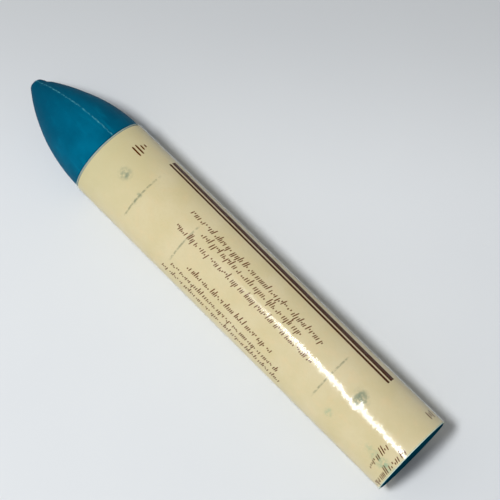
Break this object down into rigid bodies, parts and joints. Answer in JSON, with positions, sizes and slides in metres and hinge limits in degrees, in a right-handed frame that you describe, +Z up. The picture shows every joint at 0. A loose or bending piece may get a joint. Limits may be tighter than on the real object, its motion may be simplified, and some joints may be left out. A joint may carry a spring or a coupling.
{
  "type": "oil pastel stick",
  "caption": "Thick artist's pastel stick with a pointed nose and flat butt, in a rolled paper label under a clear sleeve.",
  "frame": {"origin": "on the surface the stick lies on, below the middle of its length", "axes": "+X along the stick from the nose towards the flat butt, +Z up, +Y completes the right hand"},
  "size_m": [0.1289, 0.0218, 0.0217],
  "materials": {
    "pastel": "waxy satin, cast, deep teal blue",
    "paper": "uncoated cream paper, oil-stained, printed in brown",
    "film": "thin clear glossy plastic film",
    "glue": "dried clear glue, slightly yellow"
  },
  "bodies": {
    "label": {"paper_label": "paper", "label_glue_strip": "glue"},
    "stick": {"pastel_stick": "pastel"},
    "sleeve": {"clear_sleeve": "film", "sleeve_glue_strip": "glue"}
  },
  "joints": [
    {"name": "stick_slide", "type": "slide", "parent": "label", "child": "stick", "axis": [-1, 0, 0], "range_m": [0, 0.095]},
    {"name": "sleeve_slide", "type": "slide", "parent": "label", "child": "sleeve", "axis": [1, 0, 0], "range_m": [0, 0.095]}
  ]
}
